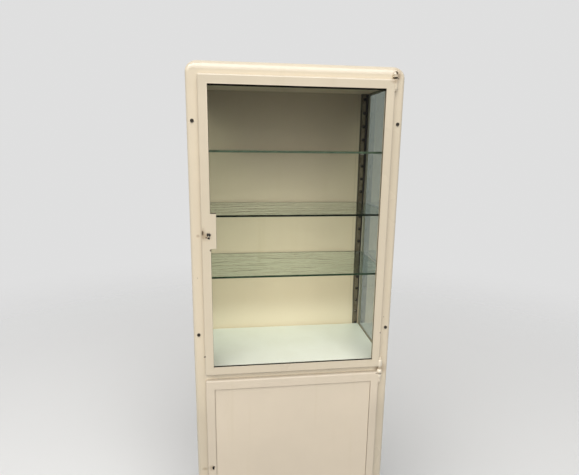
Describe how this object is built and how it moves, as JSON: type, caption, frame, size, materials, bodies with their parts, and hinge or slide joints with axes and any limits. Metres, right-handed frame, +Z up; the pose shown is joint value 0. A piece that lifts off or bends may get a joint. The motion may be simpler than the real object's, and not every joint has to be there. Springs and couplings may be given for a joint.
{
  "type": "medical cabinet",
  "caption": "Free-standing enamelled steel medical cabinet with a glazed upper door and side windows over glass shelves, a solid lower door and short legs.",
  "frame": {"origin": "on the floor at the middle of the width and of the overall depth, hinge brackets included", "axes": "+Z up along the height, +Y to the rear through the depth, +X to the right as seen from the front"},
  "size_m": [0.566, 0.3194, 1.604],
  "materials": {
    "front_enamel": "satin cream enamel",
    "body_enamel": "satin cream enamel",
    "inner_enamel": "satin grey-cream enamel",
    "door_enamel": "satin cream enamel",
    "clear_pane": "clear polished",
    "shelf_glass": "clear with green edges",
    "opal_glass": "white opal glass, polished",
    "strip_steel": "dull dark steel",
    "bright_steel": "bright steel",
    "dark_screw": "blackened steel",
    "rubber_black": "matt",
    "lock_steel": "dull steel"
  },
  "bodies": {
    "cabinet": {"back_panel": "inner_enamel", "bottom_hinge_bracket": "front_enamel", "bottom_hinge_pin": "bright_steel", "bottom_panel": "inner_enamel", "ceiling_panel": "inner_enamel", "door_buffers": "rubber_black", "foot_caps": "rubber_black", "front_frame": "front_enamel", "front_left_leg": "body_enamel", "front_left_strip": "strip_steel", "front_right_leg": "body_enamel", "front_right_strip": "strip_steel", "hinge_washers": "dark_screw", "left_glazing_frame": "inner_enamel", "left_side_glass": "clear_pane", "left_side_panel": "body_enamel", "low_glass_shelf": "shelf_glass", "middle_glass_shelf": "shelf_glass", "middle_hinge_bracket": "front_enamel", "middle_hinge_pin": "bright_steel", "opal_floor_plate": "opal_glass", "rear_left_leg": "body_enamel", "rear_left_strip": "strip_steel", "rear_right_leg": "body_enamel", "rear_right_strip": "strip_steel", "right_glazing_frame": "inner_enamel", "right_side_glass": "clear_pane", "right_side_panel": "body_enamel", "shelf_clips": "bright_steel", "shelf_rails": "inner_enamel", "steel_shelf": "inner_enamel", "strike_angles": "lock_steel", "strip_screws": "dark_screw", "top_cover": "body_enamel", "top_glass_shelf": "shelf_glass", "top_hinge_bracket": "front_enamel", "top_hinge_pin": "bright_steel", "upper_deck": "inner_enamel"},
    "upper_door": {"upper_door_frame": "door_enamel", "upper_door_back": "door_enamel", "upper_door_glass": "clear_pane", "upper_door_seal": "rubber_black", "upper_door_knuckles": "door_enamel", "upper_lock_case": "lock_steel", "upper_lock_pin": "bright_steel"},
    "upper_bolt": {"upper_lock_bolt": "bright_steel"},
    "lower_door": {"lower_door_frame": "door_enamel", "lower_door_panel": "door_enamel", "lower_door_liner": "door_enamel", "lower_door_knuckles": "door_enamel", "lower_lock_case": "lock_steel", "lower_lock_pin": "bright_steel"},
    "lower_bolt": {"lower_lock_bolt": "bright_steel"}
  },
  "joints": [
    {"name": "upper_door_hinge", "type": "hinge", "parent": "cabinet", "child": "upper_door", "pos_m": [0.2543, -0.15275, 0.7615], "axis": [0, 0, 1], "range_deg": [0, 160]},
    {"name": "upper_bolt_slide", "type": "slide", "parent": "upper_door", "child": "upper_bolt", "axis": [-1, 0, 0], "range_m": [0, 0.007]},
    {"name": "lower_door_hinge", "type": "hinge", "parent": "cabinet", "child": "lower_door", "pos_m": [0.2543, -0.15275, 0.1845], "axis": [0, 0, 1], "range_deg": [0, 160]},
    {"name": "lower_bolt_slide", "type": "slide", "parent": "lower_door", "child": "lower_bolt", "axis": [-1, 0, 0], "range_m": [0, 0.007]}
  ]
}
